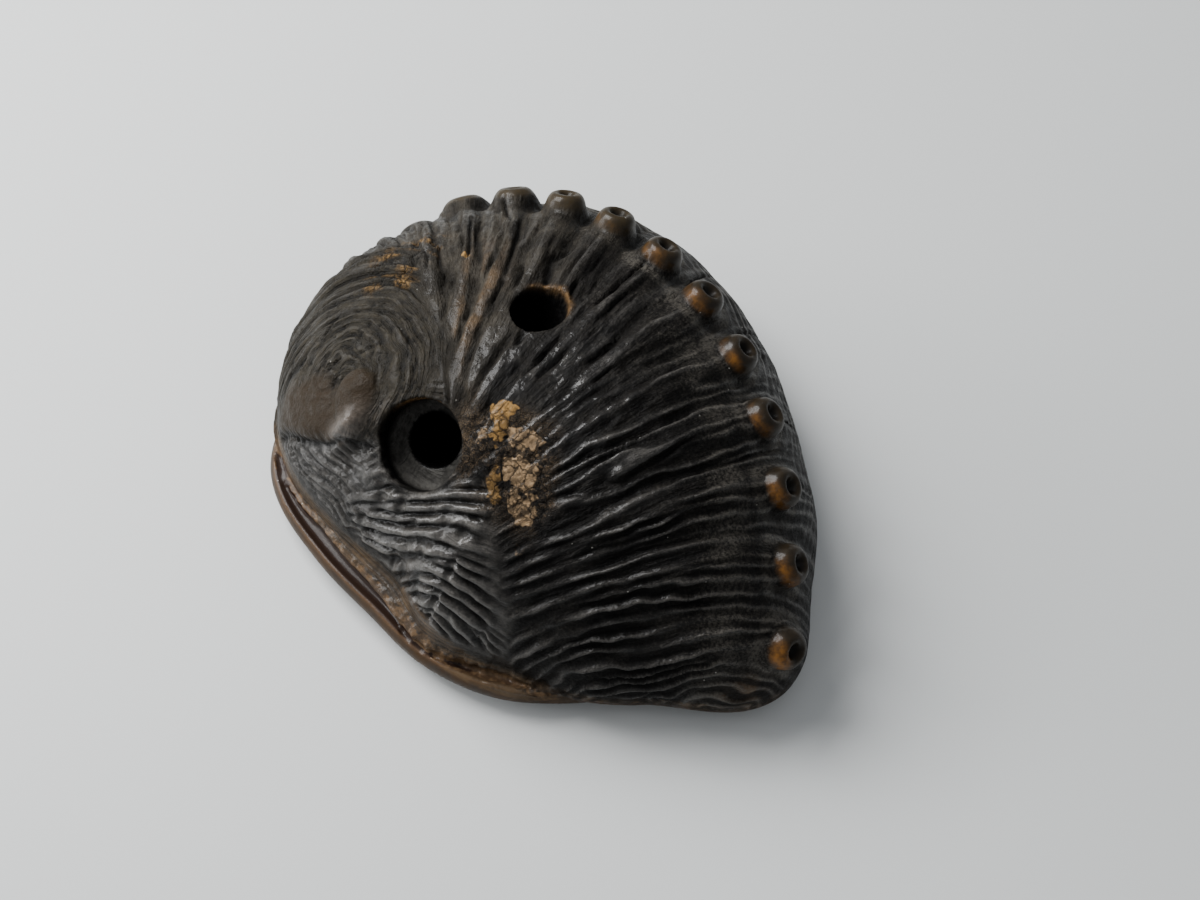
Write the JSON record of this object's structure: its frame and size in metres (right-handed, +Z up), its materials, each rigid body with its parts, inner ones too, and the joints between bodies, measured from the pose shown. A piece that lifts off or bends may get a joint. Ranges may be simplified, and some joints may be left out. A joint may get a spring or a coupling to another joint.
{
  "type": "netsuke",
  "caption": "toggle carved as an abalone shell lying over its own foot, with a row of raised pores, growth ridges, a round cord recess, a small cord hole and a channel joining them",
  "frame": {"origin": "the middle of the bounding box, on the surface the sole of the foot rests on", "axes": "+X runs from the spire to the growing end of the shell, +Y points to the side with the row of raised pores, +Z is up"},
  "size_m": [0.047, 0.037, 0.0167],
  "materials": {
    "stained_wood": "dark stained and polished wood, worn to amber brown on the pores and the rim, with rubbed and dusty grooves"
  },
  "bodies": {
    "root": {"abalone_netsuke": "stained_wood"}
  },
  "joints": []
}
